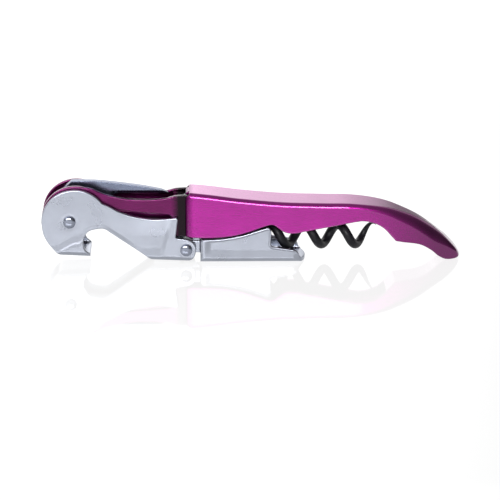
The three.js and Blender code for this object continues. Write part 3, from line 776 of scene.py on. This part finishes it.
def worm_eye():
    """The eye that holds the wire and turns on the worm's pin."""
    outline = Outline(arc((WORM_X, WORM_Z), 2.6, -90, -270, 32),
                      [(-11.6, 13.4), (-9.6, 11.9), (-9.6, 8.5), (-12.2, 8.5)], step=0.08)

    def distance(x, y, z):
        eye = both(outline(x, z), np.abs(y) - EYE_HALF, 0.4)
        return cut(eye, bar(x, z, (WORM_X, WORM_Z), PIN_BORE), 0.12)

    piece = mesh_surface("worm_eye", distance, (-16.2, -EYE_HALF, 8.4), (-9.5, EYE_HALF, 14.2), 0.2)
    return dress(piece, "worm", "worm_mount", INNER_STEEL)


# ------------------------------------------------------------------ rivets and small turned pieces

TURNED_SIDES = 48
DOME_STEPS = 15
SHOULDER = 0.14  # height of a head's straight rim above its seat
SHANK_RADIUS = 1.1


def turned(name, at, profile):
    """A closed profile of (distance from axis, y) turned about a Y axis at a side-view point."""
    rings = []
    for radius, y in profile[1:-1]:
        rings.append([(at[0] + radius * math.cos(a), y, at[1] + radius * math.sin(a))
                      for a in (2 * math.pi * j / TURNED_SIDES for j in range(TURNED_SIDES))])
    ends = [(at[0], profile[0][1], at[1]), (at[0], profile[-1][1], at[1])]
    return mesh_rings(name, rings, ends)


def rivet_profile(node):
    """Domed head, shoulder and shank, with the middle of the head flattened by the hammer."""
    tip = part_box(node)[1].y / MM
    seat = LEVER_HALF + 0.15
    rim = seat + SHOULDER
    half = [(0, tip)]
    for i in range(1, DOME_STEPS):
        angle = math.pi / 2 * i / DOME_STEPS
        half.append((RIVET_HEAD_RADIUS * math.sin(angle) ** 0.92,
                     rim + (tip - rim) * math.cos(angle) ** 0.9))
    half += [(RIVET_HEAD_RADIUS, rim), (RIVET_HEAD_RADIUS, seat + 0.05),
             (RIVET_HEAD_RADIUS - 0.05, seat), (SHANK_RADIUS + 0.05, seat),
             (SHANK_RADIUS, seat - 0.05)]
    return half + [(radius, -y) for radius, y in reversed(half)]


def rivets():
    """The two domed rivets that the levers turn on."""
    for node, body, at in (("lever_rivet", "handle", (LEVER_X, LEVER_Z)),
                           ("hinge_rivet", "lever", (HINGE_X, HINGE_Z))):
        piece = turned(node + "_dome", at, rivet_profile(node))
        dress(piece, body, node, POLISHED)


def inner_pieces():
    """CAD solids that stay: their shape is right, and they get a finish."""
    for node in ("frame_bridge", "frame_pin_lower", "frame_pin_upper", "shell_screw", "worm_pin",
                 "worm_spring", "spring_rivet", "blade_spring", "blade_spacer_front",
                 "blade_spacer_rear", "hinge_sleeve"):
        mesh = frame["nodes"][node].data
        mesh.materials.clear()
        mesh.materials.append(PLUM if node == "frame_bridge" else INNER_STEEL)


# ------------------------------------------------------------------ stage, light and camera

# Lengths from here on are metres.
FLOOR_HALF = 3
FLOOR_GAP = 0.00005  # keeps the floor clear of the object's lowest face
FLOOR_GREY = (0.1, 0.1, 0.1)
FLOOR_GLOW = 0.8
ROOM_GLOW = (0.9, 0.1)  # the room's radiance from the left to the right


def floor():
    """A glossy white light table that runs far back."""
    mesh = bpy.data.meshes.new("floor")
    mesh.from_pydata([(i * FLOOR_HALF, j * FLOOR_HALF, 0)
                      for i, j in ((-1, -1), (1, -1), (1, 1), (-1, 1))], [], [(0, 1, 2, 3)])
    piece = add_object("floor", mesh)
    piece.location.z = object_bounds()[0][2] - FLOOR_GAP
    paint = Paint("floor_paint", FLOOR_GREY, 0.05, metallic=0.0)
    paint.set("Emission Color", (1, 1, 1, 1))
    paint.set("Emission Strength", FLOOR_GLOW)
    mottle = paint.noise((0.01, 0.01, 0.01))
    paint.connect(paint.mix(paint.span(mottle, 0.0, 1.0), FLOOR_GREY, (0.11, 0.11, 0.11)),
                  "Base Color")
    mesh.materials.append(paint.material)
    piece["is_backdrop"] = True


def area_light(name, at, target, size, brightness):
    """A soft box that the camera doesn't see; brightness is its own radiance."""
    light = bpy.data.lights.new(name, "AREA")
    light.shape = "RECTANGLE"
    light.size, light.size_y = size
    light.energy = brightness * math.pi * size[0] * size[1]
    piece = bpy.data.objects.new(name, light)
    piece.location = at
    piece.rotation_euler = (Vector(target) - Vector(at)).to_track_quat("-Z", "Y").to_euler()
    piece.visible_camera = False
    bpy.context.scene.collection.objects.link(piece)


def light_stage():
    """A room that darkens to the right, three lights in front and two reflectors behind."""
    world = bpy.data.worlds.new("studio")
    world.use_nodes = True
    nodes, links = world.node_tree.nodes, world.node_tree.links
    direction = nodes.new("ShaderNodeTexCoord")
    split = nodes.new("ShaderNodeSeparateXYZ")
    links.new(direction.outputs["Generated"], split.inputs["Vector"])
    glow = map_range(nodes, links, split.outputs["X"], (-1, 1), ROOM_GLOW)
    links.new(glow, nodes["Background"].inputs["Strength"])
    nodes["Background"].inputs["Color"].default_value = (1, 1, 1, 1)
    bpy.context.scene.world = world
    area_light("strip", (-0.3, -1.2, 0.64), (-0.3, 0, 0.02), (1.0, 0.34), 17)
    area_light("low_panel", (-0.3, -1.3, 0.2), (-0.3, 0, 0.02), (1.4, 0.22), 0.9)
    area_light("soft_box", (-0.8, -0.7, 0.8), (0, 0, 0), (0.7, 0.55), 4)
    reflector("reflector_wide", (-0.6, 0.6), (0.0, 0.4), 0.36, (-0.05, 0.2), (1.0, 0.95))
    reflector("reflector_band", (-0.5, 0.3), (0.02, 0.25), 0.35, (-0.01, 0.15), (2.2, 0.35))


def reflector(name, across, up, back, fade, glow_levels):
    """Glowing panel behind the object that the camera doesn't see.

    Its radiance goes from the first of glow_levels to the second, over the span of X in fade.
    """
    (left, right), (low, high) = across, up
    mesh = bpy.data.meshes.new(name)
    mesh.from_pydata([(left, back, low), (right, back, low), (right, back, high),
                      (left, back, high)], [], [(0, 1, 2, 3)])
    piece = add_object(name, mesh)
    piece.visible_camera = False
    material = bpy.data.materials.new(name + "_glow")
    material.use_nodes = True
    nodes, links = material.node_tree.nodes, material.node_tree.links
    nodes.remove(nodes["Principled BSDF"])
    glow = nodes.new("ShaderNodeEmission")
    place = nodes.new("ShaderNodeTexCoord")
    split = nodes.new("ShaderNodeSeparateXYZ")
    links.new(place.outputs["Object"], split.inputs["Vector"])
    level = map_range(nodes, links, split.outputs["X"], fade, glow_levels)
    links.new(level, glow.inputs["Strength"])
    links.new(glow.outputs["Emission"], nodes["Material Output"].inputs["Surface"])
    mesh.materials.append(material)
    piece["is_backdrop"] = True


AZIMUTH, ELEVATION, ROLL = -1.5, 19.9, 0.3  # degrees
SENSOR_WIDTH = 36  # millimetres
DISTANCE = 0.7
FRAME_WIDTH = 0.1549  # width of the view at the object, in metres
AIM = Vector((-0.0006, 0, 0.0021))


def camera():
    """A long lens, looking at the object as the photo does."""
    data = bpy.data.cameras.new("camera")
    data.sensor_width = SENSOR_WIDTH
    data.lens = SENSOR_WIDTH * DISTANCE / FRAME_WIDTH
    data.clip_start = 0.01
    data.clip_end = 20
    piece = bpy.data.objects.new("camera", data)
    a, e = math.radians(AZIMUTH), math.radians(ELEVATION)
    away = Vector((math.sin(a) * math.cos(e), -math.cos(a) * math.cos(e), math.sin(e)))
    piece.location = AIM + DISTANCE * away
    turn = (-away).to_track_quat("-Z", "Y") @ Quaternion((0, 0, 1), math.radians(ROLL))
    piece.rotation_euler = turn.to_euler()
    bpy.context.scene.collection.objects.link(piece)
    bpy.context.scene.camera = piece


grip_shell()
frame_plate(-1)
frame_plate(1)
lever_body()
lever_extension()
cutter_blade()
worm_helix()
worm_eye()
rivets()
inner_pieces()
floor()
light_stage()
camera()

bpy.context.scene.view_settings.view_transform = "Standard"
